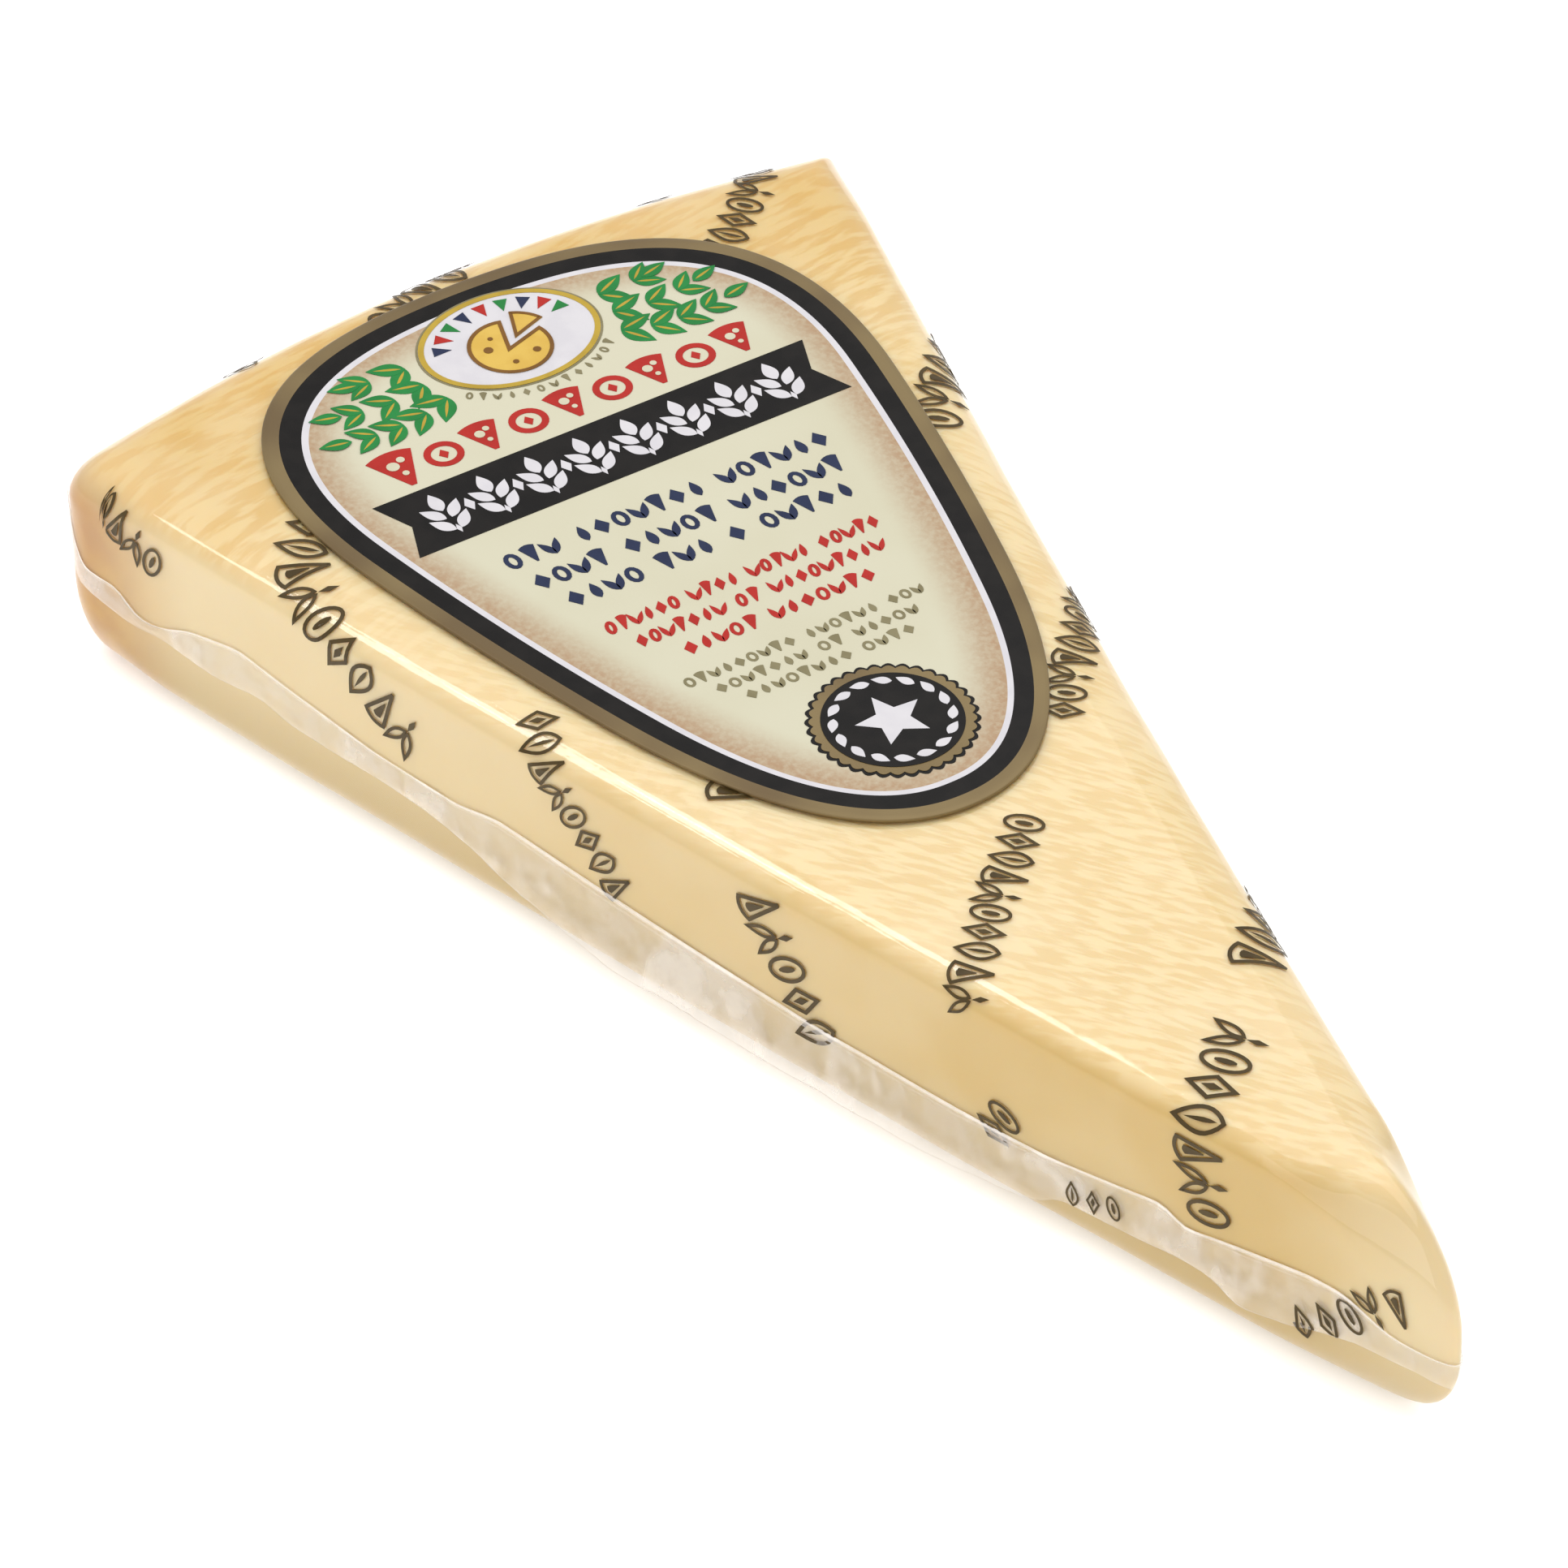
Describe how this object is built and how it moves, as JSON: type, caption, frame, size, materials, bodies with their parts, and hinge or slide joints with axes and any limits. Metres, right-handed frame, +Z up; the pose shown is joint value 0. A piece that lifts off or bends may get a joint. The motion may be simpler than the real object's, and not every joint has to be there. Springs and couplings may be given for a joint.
{
  "type": "vacuum-packed parmesan wedge",
  "caption": "Wedge of hard grating cheese cut from a wheel, vacuum-packed in clear film with a folded seal flange and a rounded printed label on its top face.",
  "frame": {"origin": "under the middle of the bounding box, on the surface that the pack lies on", "axes": "+X from the rind to the tip, +Y across the wedge, +Z up through the label"},
  "size_m": [0.1734, 0.0942, 0.0244],
  "materials": {
    "cheese": "waxy hard cheese under glossy clear film",
    "film": "clear glossy vacuum film, whitish where it is folded or sealed",
    "label": "satin printed paper",
    "ink": "dark brown ink printed on the film"
  },
  "bodies": {
    "root": {"wrapped_wedge": "cheese", "label": "label"}
  },
  "joints": []
}
